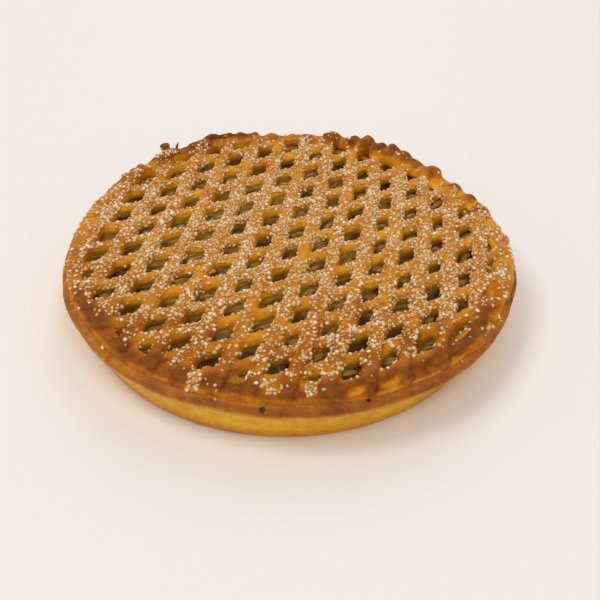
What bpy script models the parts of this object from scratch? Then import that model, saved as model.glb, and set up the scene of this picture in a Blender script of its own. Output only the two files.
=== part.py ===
"""Gooseberry vlaai: a flat round tart with a crust, a gooseberry filling and a sugared lattice top.

Sizes are in millimetres, turned into metres as the meshes are made.
The origin is the middle of the underside, +Z is up and -Y is the side that shows in front.
"""
import math
import random

import bpy
import bmesh
from mathutils import Euler, Vector
from mathutils.geometry import delaunay_2d_cdt

MM = 0.001
GAP = 0.3                        # air left between pieces that touch
SHARP_ANGLE = math.radians(40.0)           # edges sharper than this show as creases

# crust: a shallow dish, its lower wall shaped by the tin and its lip risen over the tin's edge
BASE_RADIUS = 130.0              # edge of the flat underside
BAND_TOP_RADIUS = 134.0          # wall where the tin ended
BAND_TOP = 21.5
LIP_RADIUS = 143.0               # mean reach of the risen lip
LIP_SWAY = (1.9, math.radians(-12.0))      # the lip reaches further on the right
LIP_OVAL = (0.9, math.radians(-20.0))      # and is a little oval
LIP_WAVES = ((5, 0.45, 0.8), (9, 0.35, 2.1), (17, 0.22, 4.0))    # lobes, height, phase
LIP_FRONT = (3.7, 272.0, 45.0)   # less lip in front: by how much, and that stretch's middle and half in degrees
LIP_MIDDLE = 27.5                # height at which the lip reaches furthest
LEDGE_WIDTH = 5.5                # from the lip's reach in to the flat that carries the strips
LEDGE_TOP = 31.0
HOLLOW_RADIUS = 127.0
FLOOR_RADIUS = 123.5
FLOOR_TOP = 6.0
CRUST_SEGMENTS = 60

# lattice: two families of dough strips, laid one over the other and baked together
STRIP_PITCH = 23.3
ROW_ANGLE = math.radians(25.4)             # lower strips
COLUMN_ANGLE = math.radians(79.5)          # upper strips
LATTICE_CENTRE = Vector((2.0, -10.4))      # middle of the hole nearest to the centre
ROW_BOW = Vector((-0.16, 0.38))            # drift of a lower strip, per step squared
COLUMN_BOW = Vector((-0.18, 0.26))         # drift of an upper strip, per step squared
FAN = Vector((-0.26, 0.42))                # how the strips spread away from each other
CROSSING_WANDER = 0.9            # how far a crossing lies off its even place
LATTICE_BOTTOM = LEDGE_TOP + GAP
ROW_FOOT, ROW_SHOULDER = 4.6, 2.7          # half widths of a lower strip
COLUMN_FOOT, COLUMN_SHOULDER = 5.5, 3.9    # half widths of an upper strip
ROW_RIDGE, COLUMN_RIDGE = 35.7, 36.5       # tops of the strips between crossings
CROSSING_RIDGE = 37.0
SHOULDER_DROP = 1.3              # from the ridge down to the shoulder
CORNER_DROP = 1.8                # and from a crossing's top to its corners
ACUTE_ROUND, OBTUSE_ROUND = 3.0, 0.7       # how far dough fills the corners of a hole
CORNER_ROOM = 0.7                # and how far it stays from the next section of the strip
STEPS = 8                        # strips counted on each side of the middle
ARM_STEPS = ((1, 0), (0, 1), (-1, 0), (0, -1))
CORNER_SIDES = ((1, 1), (1, -1), (-1, -1), (-1, 1))
UNEVEN_HEIGHT = 0.4
UNEVEN_WIDTH = (0.92, 1.12)
RIM_PRESS, RIM_PRESS_WIDTH = 1.4, 16.0     # the strips are pressed down towards the rim
CROSSING_INSET = 3.0             # a crossing keeps this far in from the strips' ends
END_INSET = 4.6                  # from the lip's reach in to the end of a strip
END_TAPER = 3.6                  # length of the rounded end
END_WIDTH = 0.74                 # width of the very end, as a share of the strip's
END_SWELL = 0.7                  # the ends puffed up a little
END_DROP = 1.0
SHORTEST_END = 7.5               # a shorter stub is left off
LONGEST_END = 33.0
END_STEP = 0.5                   # an end is as long as fits, to this step
CURL_START = 0.75                # share of a curl's height that its root has risen
CLEAR_OF_CROSSING = 9.5          # room kept to a crossing that is off the rim
# ends that rose and curled in the oven: direction, half width in degrees, extra height
CURLED_ENDS = ((46, 5, 2.5), (56, 6, 5.5), (67, 6, 6.5), (77, 4, 5.5), (101, 5, 6.5), (111, 5, 8.0),
               (120, 4, 4.5), (130, 3.5, 10.5), (138, 4, 4.0), (146, 4, 4.0))

# gooseberry filling, level with the ledge and lumpy where the holes show it
FILLING_TOP = LEDGE_TOP
FILLING_DIP = 1.5                # how far it sank in the middle of a hole
BERRY_RISE = 1.7                 # where a berry stands up in a hole
BERRY_SHARE = 0.4                # share of the holes with a berry near the top
LUMP_REACH = (3.4, 4.3)          # half width of a dip or a berry, along the two strip directions
LUMP_UNEVEN = (0.6, 1.0)
LUMP_CLEARANCE = 6.0             # lumps keep this far inside the filling's edge
FILLING_SEGMENTS = 60

# coarse sugar: the largest grains, one to a spot, spread over the strips
GRAIN_COUNT = 150
GRAIN_RADIUS = (1.2, 1.6)
GRAIN_REACH = 126.0
GRAIN_HEIGHT = 1.5               # height of a grain, as a multiple of its radius
GRAIN_TAPER = 0.72               # its top's width, as a share of its foot's
GRAIN_LIFT = 0.2                 # middle of a grain over the strip's ridge
GRAIN_TILT = 0.3
GRAIN_SPREAD = 1.2               # how far a grain lies off the strip's ridge
GRAIN_SHARES = (0.2, 0.8)        # and along it, between two crossings

SEED = 11


def remove_everything():
    for item in list(bpy.data.objects):
        bpy.data.objects.remove(item, do_unlink=True)
    for mesh in list(bpy.data.meshes):
        bpy.data.meshes.remove(mesh)


def material(name, colour, roughness):
    finish = bpy.data.materials.new(name)
    finish.use_nodes = True
    shader = finish.node_tree.nodes["Principled BSDF"]
    shader.inputs["Base Color"].default_value = (*colour, 1.0)
    shader.inputs["Roughness"].default_value = roughness
    shader.inputs["Metallic"].default_value = 0.0
    finish.diffuse_color = (*colour, 1.0)
    return finish


def solid(name, shape, finish):
    """Makes an object from a bmesh in millimetres."""
    bmesh.ops.recalc_face_normals(shape, faces=shape.faces)
    mesh = bpy.data.meshes.new(name)
    bmesh.ops.scale(shape, vec=(MM, MM, MM), verts=shape.verts)
    shape.to_mesh(mesh)
    shape.free()
    mesh.materials.append(finish)
    mesh.shade_smooth()
    mesh.set_sharp_from_angle(angle=SHARP_ANGLE)
    thing = bpy.data.objects.new(name, mesh)
    bpy.context.scene.collection.objects.link(thing)
    return thing


def lip_reach(angle):
    sway, towards = LIP_SWAY
    oval, along = LIP_OVAL
    reach = LIP_RADIUS + sway * math.cos(angle - towards) + oval * math.cos(2.0 * (angle - along))
    for lobes, height, phase in LIP_WAVES:
        reach += height * math.sin(lobes * angle + phase)
    less, middle, half = LIP_FRONT
    away = (math.degrees(angle) % 360.0 - middle) / half
    return reach - less * math.exp(-away * away)


def end_reach(angle):
    return lip_reach(angle) - END_INSET


def end_rise(angle):
    degrees = math.degrees(angle) % 360.0
    return sum(rise * math.exp(-((degrees - middle) / half) ** 2) for middle, half, rise in CURLED_ENDS)


def row_direction():
    return Vector((math.cos(ROW_ANGLE), math.sin(ROW_ANGLE)))


def column_direction():
    return Vector((math.cos(COLUMN_ANGLE), math.sin(COLUMN_ANGLE)))


def lattice_point(u, v):
    """Place on the top that is u steps along the lower strips and v steps along the upper ones."""
    straight = LATTICE_CENTRE + (row_direction() * u + column_direction() * v) * STRIP_PITCH
    return straight + ROW_BOW * u * u + COLUMN_BOW * v * v + FAN * u * v


def crust():
    """The dish: rings of points from the middle of the underside out, up and back in."""
    shape = bmesh.new()
    fixed = ((BASE_RADIUS - 1.5, 0.0), (BASE_RADIUS + 0.3, 1.2), (BASE_RADIUS + 2.2, 10.0),
             (BAND_TOP_RADIUS - 0.5, 18.5), (BAND_TOP_RADIUS + 0.6, BAND_TOP))
    lip = ((-2.2, BAND_TOP + 1.0), (-0.4, 24.5), (0.0, LIP_MIDDLE), (-1.6, 29.8), (-3.4, 30.8),
           (-LEDGE_WIDTH, LEDGE_TOP))
    inner = ((HOLLOW_RADIUS, LEDGE_TOP), (HOLLOW_RADIUS - 1.0, 24.0), (FLOOR_RADIUS, FLOOR_TOP))
    rings = []
    for step in range(CRUST_SEGMENTS):
        angle = 2.0 * math.pi * step / CRUST_SEGMENTS
        reach = lip_reach(angle)
        profile = list(fixed) + [(reach + offset, z) for offset, z in lip] + list(inner)
        rings.append([shape.verts.new((r * math.cos(angle), r * math.sin(angle), z)) for r, z in profile])
    under = shape.verts.new((0.0, 0.0, 0.0))
    floor = shape.verts.new((0.0, 0.0, FLOOR_TOP))
    for step in range(CRUST_SEGMENTS):
        here, ahead = rings[step], rings[(step + 1) % CRUST_SEGMENTS]
        for low in range(len(here) - 1):
            shape.faces.new((here[low], ahead[low], ahead[low + 1], here[low + 1]))
        shape.faces.new((under, ahead[0], here[0]))
        shape.faces.new((floor, here[-1], ahead[-1]))
    return solid("base_crust", shape, material("baked crust", (0.56, 0.30, 0.07), 0.62))


def filling():
    """A disc that fills the dish, with a low dip or a berry's back in each hole of the lattice."""
    draw = random.Random(SEED + 1)
    shape = bmesh.new()
    edge = HOLLOW_RADIUS - GAP
    floor_edge = FLOOR_RADIUS - GAP
    places = []
    for i in range(-STEPS, STEPS + 1):
        for j in range(-STEPS, STEPS + 1):
            middle = lattice_point(i, j)
            height = BERRY_RISE if draw.random() < BERRY_SHARE else -FILLING_DIP
            height *= draw.uniform(*LUMP_UNEVEN)
            if middle.length > edge - LUMP_CLEARANCE:
                continue
            places.append((middle.x, middle.y, FILLING_TOP + height))
            for side in (-1.0, 1.0):
                across = middle + row_direction() * side * LUMP_REACH[0]
                along = middle + column_direction() * side * LUMP_REACH[1]
                places += [(across.x, across.y, FILLING_TOP), (along.x, along.y, FILLING_TOP)]
    rim = []
    for step in range(FILLING_SEGMENTS):
        angle = 2.0 * math.pi * step / FILLING_SEGMENTS
        rim.append((edge * math.cos(angle), edge * math.sin(angle), FILLING_TOP))
    top = [shape.verts.new(place) for place in places + rim]
    spread = triangulate([vert.co.xy for vert in top])
    for corners in spread:
        shape.faces.new([top[corner] for corner in corners])
    rim_verts = top[len(places):]
    deep = []
    for step in range(FILLING_SEGMENTS):
        angle = 2.0 * math.pi * step / FILLING_SEGMENTS
        deep.append(shape.verts.new((floor_edge * math.cos(angle), floor_edge * math.sin(angle),
                                     FLOOR_TOP + GAP)))
    for step in range(FILLING_SEGMENTS):
        after = (step + 1) % FILLING_SEGMENTS
        shape.faces.new((rim_verts[step], deep[step], deep[after], rim_verts[after]))
    shape.faces.new(list(reversed(deep)))
    return solid("gooseberry_filling", shape, material("gooseberry jelly", (0.20, 0.13, 0.02), 0.2))


def triangulate(points):
    """Delaunay triangles over flat points, as corner numbers."""
    result = delaunay_2d_cdt(points, [], [], 0, 1e-6)
    origins = result[3]
    return [[origins[corner][0] for corner in face] for face in result[2]]


class Lattice:
    """The strips as one mesh: crossings, the arms between them and the ends on the rim."""

    def __init__(self):
        self.shape = bmesh.new()
        self.verts = {}
        self.centres = {}
        wander = random.Random(SEED)
        for i in range(-STEPS, STEPS + 1):
            for j in range(-STEPS, STEPS + 1):
                self.place_crossing(i, j, wander)
        self.reaches = {}
        for i, j in self.centres:
            for step in ARM_STEPS:
                self.reaches[i, j, step] = self.reach(i, j, step)

    def place_crossing(self, i, j, wander):
        """Keeps a crossing that lies on the pie, drawn in a little where it would overhang."""
        spot = lattice_point(i + 0.5, j + 0.5)
        spot += Vector((wander.uniform(-1, 1), wander.uniform(-1, 1))) * CROSSING_WANDER
        furthest = end_reach(math.atan2(spot.y, spot.x)) - CROSSING_INSET
        if spot.length < furthest + CROSSING_INSET:
            if spot.length > furthest:
                spot *= furthest / spot.length
            self.centres[i, j] = spot

    def directions(self, i, j):
        """Unit directions of the lower and the upper strip through a crossing."""
        u, v = i + 0.5, j + 0.5
        row = (lattice_point(u + 0.5, v) - lattice_point(u - 0.5, v)).normalized()
        column = (lattice_point(u, v + 0.5) - lattice_point(u, v - 0.5)).normalized()
        return row, column

    def reach(self, i, j, step):
        """How far a strip runs on past a crossing; nothing where it stops there."""
        beyond = (i + step[0], j + step[1])
        if beyond in self.centres:
            return STRIP_PITCH
        centre = self.centres[i, j]
        row, column = self.directions(i, j)
        along = row * step[0] + column * step[1]
        reach = 0.0
        while reach < LONGEST_END:
            place = centre + along * (reach + END_STEP)
            if place.length > end_reach(math.atan2(place.y, place.x)):
                break
            reach += END_STEP
        next_crossing = lattice_point(beyond[0] + 0.5, beyond[1] + 0.5)
        reach = min(reach, (next_crossing - centre).length - CLEAR_OF_CROSSING)
        return reach if reach > SHORTEST_END else 0.0

    def vert(self, key, place, z):
        """A point on the strips, made once; near the rim the dough is pressed thinner."""
        if key not in self.verts:
            limit = end_reach(math.atan2(place.y, place.x))
            if place.length > limit:
                place = place * (limit / place.length)
            pressed = max(0.0, 1.0 - (limit - place.length) / RIM_PRESS_WIDTH) * RIM_PRESS
            if z > LATTICE_BOTTOM:
                z -= pressed
            self.verts[key] = self.shape.verts.new((place.x, place.y, z))
        return self.verts[key]

    def room(self, i, j, step):
        """How far the corners of a crossing may reach along one of its arms."""
        beyond = (i + step[0], j + step[1])
        if beyond in self.centres:
            return (self.centres[beyond] - self.centres[i, j]).length / 2 - CORNER_ROOM
        return self.reaches[i, j, step] - END_TAPER - CORNER_ROOM

    def corner(self, i, j, side_u, side_v):
        """Shoulder and foot of a crossing's corner; dough fills the corners of the holes."""
        centre = self.centres[i, j]
        row, column = self.directions(i, j)
        skew = abs(row.cross(column))
        lean = row.dot(column) * side_u * side_v
        row_step, column_step = (side_u, 0), (0, side_v)
        row_reach, column_reach = self.reaches[i, j, row_step], self.reaches[i, j, column_step]
        between = row * side_u + column * side_v
        levels = []
        for name, row_half, column_half, z in (
                ("shoulder", ROW_SHOULDER, COLUMN_SHOULDER, CROSSING_RIDGE - CORNER_DROP),
                ("foot", ROW_FOOT, COLUMN_FOOT, LATTICE_BOTTOM)):
            if row_reach and column_reach:
                along_row, along_column = column_half / skew, row_half / skew
                row_room = self.room(i, j, row_step) - along_row - along_column * lean
                column_room = self.room(i, j, column_step) - along_column - along_row * lean
                fillet = (ACUTE_ROUND if side_u == side_v else OBTUSE_ROUND) / between.length
                fillet = min(fillet, row_room / (1.0 + lean), column_room / (1.0 + lean))
                shift = row * (side_u * (along_row + fillet)) + column * (side_v * (along_column + fillet))
            elif row_reach:
                shift = row * side_u + Vector((-row.y, row.x)) * (side_v * row_half)
            elif column_reach:
                shift = column * side_v + Vector((column.y, -column.x)) * (side_u * column_half)
            else:
                shift = between.normalized() * column_half
            levels.append(self.vert(("corner", name, i, j, side_u, side_v), centre + shift, z))
        return levels

    def section(self, key, place, along, halves, ridge):
        """Five points across a strip: left foot, left shoulder, ridge, right shoulder, right foot."""
        left = Vector((-along.y, along.x))
        foot, shoulder = halves
        return [self.vert(key + (name,), place + left * width, z) for name, width, z in (
            ("left foot", foot, LATTICE_BOTTOM),
            ("left shoulder", shoulder, ridge - SHOULDER_DROP),
            ("ridge", 0.0, ridge),
            ("right shoulder", -shoulder, ridge - SHOULDER_DROP),
            ("right foot", -foot, LATTICE_BOTTOM))]

    def face(self, *corners):
        self.shape.faces.new(corners)

    def loft(self, near, far):
        """Joins two sections of a strip, looking along it away from the near one."""
        for step in range(4):
            self.face(near[step], far[step], far[step + 1], near[step + 1])
        self.face(near[4], far[4], far[0], near[0])

    def arm(self, i, j, step):
        """Half a strip from a crossing to the next one, its end on the rim, or a closed side."""
        centre = self.centres[i, j]
        step_u, step_v = step
        row, column = self.directions(i, j)
        if step_u:
            along, halves, ridge = row * step_u, (ROW_FOOT, ROW_SHOULDER), ROW_RIDGE
            left, right = (step_u, step_u), (step_u, -step_u)
        else:
            along, halves, ridge = column * step_v, (COLUMN_FOOT, COLUMN_SHOULDER), COLUMN_RIDGE
            left, right = (-step_v, step_v), (step_v, step_v)
        left_shoulder, left_foot = self.corner(i, j, *left)
        right_shoulder, right_foot = self.corner(i, j, *right)
        top = self.vert(("centre", i, j), centre, CROSSING_RIDGE)
        near = [left_foot, left_shoulder, top, right_shoulder, right_foot]
        beyond = (i + step_u, j + step_v)
        if beyond in self.centres:
            self.loft(near, self.middle((i, j), beyond, halves, ridge))
        elif self.reaches[i, j, step]:
            self.end(("end", i, j, step), near, centre, along * self.reaches[i, j, step], halves, ridge)
        else:
            self.face(left_shoulder, top, right_shoulder)
            self.face(left_foot, left_shoulder, right_shoulder, right_foot)

    def middle(self, here, beyond, halves, ridge):
        """The section halfway between two crossings, shared by the arms that meet there."""
        first, last = sorted((here, beyond))
        start, end = self.centres[first], self.centres[last]
        uneven = random.Random(SEED + 1009 * first[0] + 101 * first[1] + 7 * last[0])
        ridge += uneven.uniform(-UNEVEN_HEIGHT, UNEVEN_HEIGHT)
        widths = [half * uneven.uniform(*UNEVEN_WIDTH) for half in halves]
        across = self.section(("middle", first, last), (start + end) / 2, (end - start).normalized(),
                              widths, ridge)
        return across if here == first else list(reversed(across))

    def end(self, key, near, centre, run, halves, ridge):
        """The rounded end of a strip on the lip, raised where it curled in the oven."""
        tip = centre + run
        along = run.normalized()
        rise = end_rise(math.atan2(tip.y, tip.x))
        full = self.section(key + ("full",), tip - along * END_TAPER, along, halves,
                            ridge + END_SWELL + CURL_START * rise)
        narrow = [half * END_WIDTH for half in halves]
        last = self.section(key + ("last",), tip, along, narrow, ridge - END_DROP + rise)
        self.loft(near, full)
        self.loft(full, last)
        self.face(*last)

    def build(self):
        for i, j in self.centres:
            for step in ARM_STEPS:
                self.arm(i, j, step)
            under = self.vert(("under", i, j), self.centres[i, j], LATTICE_BOTTOM)
            feet = [self.corner(i, j, *sides)[1] for sides in CORNER_SIDES]
            for number, foot in enumerate(feet):
                self.face(under, foot, feet[number - 1])
        return self.shape


def grain(place, radius, draw):
    """One blunt crystal of coarse sugar, six-sided and a little tilted."""
    shape = bmesh.new()
    bmesh.ops.create_cone(shape, cap_ends=True, segments=6, radius1=radius, radius2=GRAIN_TAPER * radius,
                          depth=GRAIN_HEIGHT * radius)
    turn = Euler((draw.uniform(-GRAIN_TILT, GRAIN_TILT), draw.uniform(-GRAIN_TILT, GRAIN_TILT),
                  draw.uniform(0.0, math.pi)))
    bmesh.ops.rotate(shape, verts=shape.verts, cent=(0.0, 0.0, 0.0), matrix=turn.to_matrix())
    bmesh.ops.translate(shape, verts=shape.verts, vec=place)
    return shape


def sugar_places(lattice, draw):
    """Spots on the strips, spread evenly over them by a golden-ratio sequence."""
    golden = (math.sqrt(5.0) - 1.0) / 2.0
    arms = []
    for (i, j), start in lattice.centres.items():
        for beyond, ridge in (((i, j + 1), COLUMN_RIDGE), ((i + 1, j), ROW_RIDGE)):
            if beyond in lattice.centres:
                arms.append((start, lattice.centres[beyond], ridge))
    places = []
    for count in range(GRAIN_COUNT):
        start, end, ridge = arms[int(len(arms) * ((count * golden) % 1.0))]
        spot = start.lerp(end, draw.uniform(*GRAIN_SHARES))
        spot += Vector((draw.uniform(-1, 1), draw.uniform(-1, 1))) * GRAIN_SPREAD
        if spot.length < GRAIN_REACH:
            places.append((spot.x, spot.y, ridge + GRAIN_LIFT))
    return places


def lattice_top():
    """The lattice with its largest sugar grains fused on by one union."""
    lattice = Lattice()
    dough = solid("lattice_top", lattice.build(), material("lattice crust", (0.60, 0.30, 0.06), 0.45))
    draw = random.Random(SEED + 2)
    grains = bpy.data.collections.new("grains")
    bpy.context.scene.collection.children.link(grains)
    finish = dough.data.materials[0]
    for number, (x, y, z) in enumerate(sugar_places(lattice, draw)):
        radius = draw.uniform(*GRAIN_RADIUS)
        piece = solid("grain_%03d" % number, grain((x, y, z), radius, draw), finish)
        bpy.context.scene.collection.objects.unlink(piece)
        grains.objects.link(piece)
    union = dough.modifiers.new("sugar", "BOOLEAN")
    union.operation = "UNION"
    union.operand_type = "COLLECTION"
    union.collection = grains
    union.solver = "MANIFOLD"
    bpy.context.view_layer.update()
    evaluated = dough.evaluated_get(bpy.context.evaluated_depsgraph_get())
    fused = bpy.data.meshes.new_from_object(evaluated)
    dough.modifiers.clear()
    dough.data = fused
    fused.set_sharp_from_angle(angle=SHARP_ANGLE)
    for piece in list(grains.objects):
        bpy.data.objects.remove(piece, do_unlink=True)
    bpy.data.collections.remove(grains)
    return dough


remove_everything()
crust()
filling()
lattice_top()
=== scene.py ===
"""Looks of the gooseberry vlaai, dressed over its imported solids.

Sizes are in millimetres, turned into metres as the meshes are made.
The origin is the middle of the underside, +Z is up and -Y is the side that shows in front.
"""
import itertools
import math
import random

import bpy
import numpy as np
from mathutils import Matrix, Vector


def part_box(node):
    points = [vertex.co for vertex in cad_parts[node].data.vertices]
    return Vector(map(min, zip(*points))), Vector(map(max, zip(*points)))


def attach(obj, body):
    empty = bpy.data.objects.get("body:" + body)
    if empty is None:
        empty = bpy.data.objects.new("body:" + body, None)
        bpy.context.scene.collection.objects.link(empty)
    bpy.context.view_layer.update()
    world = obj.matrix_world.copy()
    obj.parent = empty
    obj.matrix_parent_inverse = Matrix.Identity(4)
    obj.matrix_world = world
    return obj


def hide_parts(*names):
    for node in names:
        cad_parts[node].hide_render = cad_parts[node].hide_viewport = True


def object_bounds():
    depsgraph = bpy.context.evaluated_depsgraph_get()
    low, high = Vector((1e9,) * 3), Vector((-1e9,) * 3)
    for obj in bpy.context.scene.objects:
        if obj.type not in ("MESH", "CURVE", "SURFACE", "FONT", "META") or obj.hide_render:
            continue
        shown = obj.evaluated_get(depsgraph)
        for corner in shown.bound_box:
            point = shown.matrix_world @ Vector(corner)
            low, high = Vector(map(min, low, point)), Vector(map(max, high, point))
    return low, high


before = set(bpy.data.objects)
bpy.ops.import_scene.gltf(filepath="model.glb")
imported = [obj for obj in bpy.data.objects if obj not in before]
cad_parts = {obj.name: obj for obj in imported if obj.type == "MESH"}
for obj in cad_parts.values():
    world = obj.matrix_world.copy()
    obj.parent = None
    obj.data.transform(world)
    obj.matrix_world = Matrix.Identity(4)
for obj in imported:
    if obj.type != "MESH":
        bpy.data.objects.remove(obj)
cad_low, cad_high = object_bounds()

MM = 0.001
SEED = 11

# crust, as in the solids
BASE_RADIUS = 130.0
BAND_TOP_RADIUS = 134.6
BAND_TOP = 21.5
LIP_RADIUS = 143.0
LIP_SWAY = (1.9, math.radians(-12.0))
LIP_OVAL = (0.9, math.radians(-20.0))
LIP_WAVES = ((5, 0.45, 0.8), (9, 0.35, 2.1), (17, 0.22, 4.0))
LIP_FRONT = (272.0, 45.0, 3.7)  # the lip rose less in front: middle and spread in degrees, by how much
LIP_MIDDLE = 27.5
LIP_ROLL = 5.5  # width of the lip's rounded top
LEDGE_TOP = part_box("base_crust")[1][2] / MM
HOLLOW_RADIUS = 127.0
FLOOR_RADIUS = 123.5
FLOOR_TOP = 6.0
FOOT_EDGE = ((-1.0, 0.0), (-0.1, 0.35), (0.4, 1.2))  # rounded: out from the base's radius, and up
HOLLOW_EDGE = ((-0.5, 28.0), (-1.0, 24.0))
DISH_SEGMENTS = 960
# unevenness of the dough: height, size, and shift of the noise
DISH_LUMPS = ((0.35, 16.0, 0.0), (0.16, 6.0, 40.0), (0.05, 2.0, 70.0))
CREASE = (0.9, 1.2, 0.75)  # beside the strips' ends in front: its place, half width and depth
BUBBLE_DEPTH = 1.3
# direction, radius, half width
LIP_BUBBLES = ((266.0, 136.6, 1.3), (289.3, 136.8, 1.1), (338.0, 140.5, 0.8))

# lattice rule, as in the solids
STRIP_PITCH = 23.3
ROW = np.array((math.cos(math.radians(25.4)), math.sin(math.radians(25.4))))
COLUMN = np.array((math.cos(math.radians(79.5)), math.sin(math.radians(79.5))))
LATTICE_CENTRE = np.array((2.0, -10.4))
ROW_BOW = np.array((-0.16, 0.38))
COLUMN_BOW = np.array((-0.18, 0.26))
FAN = np.array((-0.26, 0.42))
CROSSING_WANDER = 0.9
STEPS = 8
CROSSINGS = tuple(itertools.product(range(-STEPS, STEPS + 1), repeat=2))

# strips
PATH_STEP = 0.06  # of a pitch, between two sections of a strip
STRIP_BOTTOM = 29.0  # under the jelly
ROW_TOP, COLUMN_TOP = 35.9, 36.6
ROW_HALVES, COLUMN_HALVES = (5.2, 3.3), (5.7, 4.0)  # half widths at the bottom and at the top
SQUARE_PITCH = 0.81  # of the pitch, measured square to the strips
ROW_REACH, COLUMN_REACH = 6.2, 6.8  # half widths that sugar and browning go by
CROSSING_BULGE = 0.5  # an upper strip over a lower one
STRIP_UNEVEN = 0.2  # of its width
TOP_UNEVEN = 0.45
STRIP_WOBBLE = 0.5
SHORTEST_STRIP = 16.0
SECTION_POINTS = 18
SECTION_SQUARE = 0.5  # 1 gives round sections, less gives square ones
END_ROUND, END_ROUND_FRONT = 3.4, 1.9  # length of a rounded end
END_WIDEN, END_SPREAD = 0.10, 6.0
TIP_HEIGHT, TIP_WIDTH = (0.45, 0.55), (0.55, 0.45)  # left at the very tip, and gained from there
TIP_RISE, TIP_RISE_FRONT = 0.4, 0.5  # over the rim's dough, and more in front
TIP_SUNK = 0.6  # the ends taper to a height this far under the ledge's top
END_INSET_FRONT, END_INSET_BACK = 3.9, 2.2  # from the lip's reach in to the strips' ends
ALONG_RIM = 8.0  # a strip that nearly follows the rim is bent in by as much as this
SLANTED_END = 4.0  # an end that meets the rim at a slant stops this much short of it
CORNER_FILL = (6.4, 2.4, 33.8)  # dough in the acute corners: from the crossing, radius, top

# dough that runs along the rim, over the ledge: direction, height of its top
RIM_LEVEL = ((0, 34.2), (14, 34.6), (22, 35.0), (28, 33.4), (35, 33.4), (40, 35.2), (50, 36.4), (56, 38.2),
             (60, 38.8), (64, 40.2), (69, 40.4), (73, 38.8), (75, 38.6), (82, 37.4), (92, 36.7), (98, 37.4),
             (120, 38.8), (126, 39.0), (132, 40.0), (137, 37.8), (150, 37.4), (156, 35.2), (180, 35.8),
             (195, 35.2), (210, 34.6), (230, 34.2), (280, 34.0), (292, 33.2), (320, 33.0), (345, 33.6),
             (360, 34.2))
# and half its width
RIM_HALVES = ((0, 6.4), (12, 6.0), (26, 6.2), (33, 8.6), (57, 8.6), (64, 5.2), (200, 5.2), (235, 6.5),
              (250, 8.2), (300, 8.2), (315, 6.0), (360, 6.4))
# knobs where ends of strips rose in the oven: direction, half width in degrees, extra height
RIM_KNOBS = ((16.6, 1.7, 4.0), (23.7, 2.0, 2.6), (30.3, 1.8, 2.6), (40.2, 2.2, 5.0), (46.4, 2.2, 2.6),
             (50.9, 2.0, 5.8), (55.4, 2.2, 6.8), (59.8, 1.4, 5.0), (64.3, 1.8, 6.2), (68.9, 1.5, 2.8),
             (76.0, 2.3, 5.2), (84.5, 2.0, 1.8), (88.5, 2.0, 1.4), (95.7, 2.0, 3.4), (118.3, 2.0, 3.4),
             (121.4, 1.8, 2.6), (124.0, 2.6, 1.6), (131.0, 3.2, 4.2), (135.6, 2.2, 3.4), (142.0, 2.3, 3.0),
             (147.3, 2.3, 2.6), (153.0, 2.0, 1.6), (162.0, 2.2, 1.0))
RIM_SINK, RIM_SINK_FRONT = 0.7, 1.3  # the dough between the ends lies this much lower
RIM_BLEND = 13.0  # over this length the strips pass into the rim's height
RIM_UNEVEN = 0.5
# hollows in the rim's dough: direction, radius, half sizes along and across the rim, depth
RIM_POCKETS = ((249.0, 127.0, 3.0, 6.0, 1.6), (267.5, 125.0, 5.5, 3.0, 0.4), (277.0, 126.0, 2.6, 5.6, 1.5),
               (287.0, 132.0, 5.0, 1.9, 1.2), (295.5, 132.0, 5.5, 1.9, 1.2))
VOXEL = 0.85  # of the remesh that fuses the strips
EASE_SHARE, EASE_ROUNDS = 0.5, 4  # and of the smoothing after it
CRUST_LUMPS = ((0.32, 7.0, 0.0), (0.22, 3.4, 50.0), (0.10, 1.9, 90.0))
HIGHEST = cad_high[2] / MM - 0.3

# burnt crest at the back: its stretch along the rim, and peaks as direction, half width, height
CREST_STRETCH = (98.0, 122.0)
CREST_INSET = 2.6
CREST_HALF = 1.9
CREST_RAGGED = (0.7, 0.9)  # out and up
CREST_FOOT, CREST_ENDS = 37.6, 34.0  # heights under its peaks, and where it ends
CREST_PEAKS = ((101.1, 1.6, 1.6), (106.0, 1.6, 3.6), (110.4, 2.8, 4.2), (113.6, 1.5, 2.4), (116.4, 2.4, 5.2))

# a strip's end that curled up at the back, and a thin spike of dough beside it
CURL_DIRECTION, SPIKE_DIRECTION = 130.3, 128.6
CURL_PATH = ((136.0, 36.5), (140.0, 38.6), (143.6, 41.0), (144.8, 42.4), (143.6, 43.0), (141.0, 42.6),
             (138.8, 40.6))
CURL_HALVES = (3.9, 1.3)
SPIKE_PATH = ((136.5, 36.5), (138.8, 39.0), (140.8, 41.4), (142.0, 43.2))
SPIKE_HALVES = (1.7, 1.2)
SPIKE_LEAN = -3.0  # degrees round the rim, from its foot to its tip

# filling
FILLING_RADIUS = 126.7
JELLY_DIP = (1.0, 3.2)
DIP_SHIFT = 1.8  # the jelly sank most towards the near strip of each hole
JELLY_CLIMB = 1.6  # and boiled up this much on the far one
RIM_DIP = 1.3  # and sank this much more in the holes along the rim
JELLY_LEVEL = 31.2
JELLY_RIPPLES = ((0.35, 4.0, 8.0), (0.2, 2.2, 3.0))  # height, size, layer of the noise
JELLY_RINGS, JELLY_AROUND = 110, 420
BERRY_SHARE = 0.6
BERRY_RADIUS = (5.4, 7.6)
BERRY_SHAPE = (0.68, 0.62, 1.25)  # half sizes, as shares of that radius
BERRY_TOP = (30.6, 32.6)
BERRY_SHIFT_X, BERRY_SHIFT_Y = (-2.4, 2.4), (0.6, 3.8)  # from the middle of its hole
BERRY_SPIN, BERRY_LEAN = (-90.0, -30.0), (-0.3, 0.3)  # in degrees, in radians
BERRY_RINGS, BERRY_AROUND = 12, 22

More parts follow.
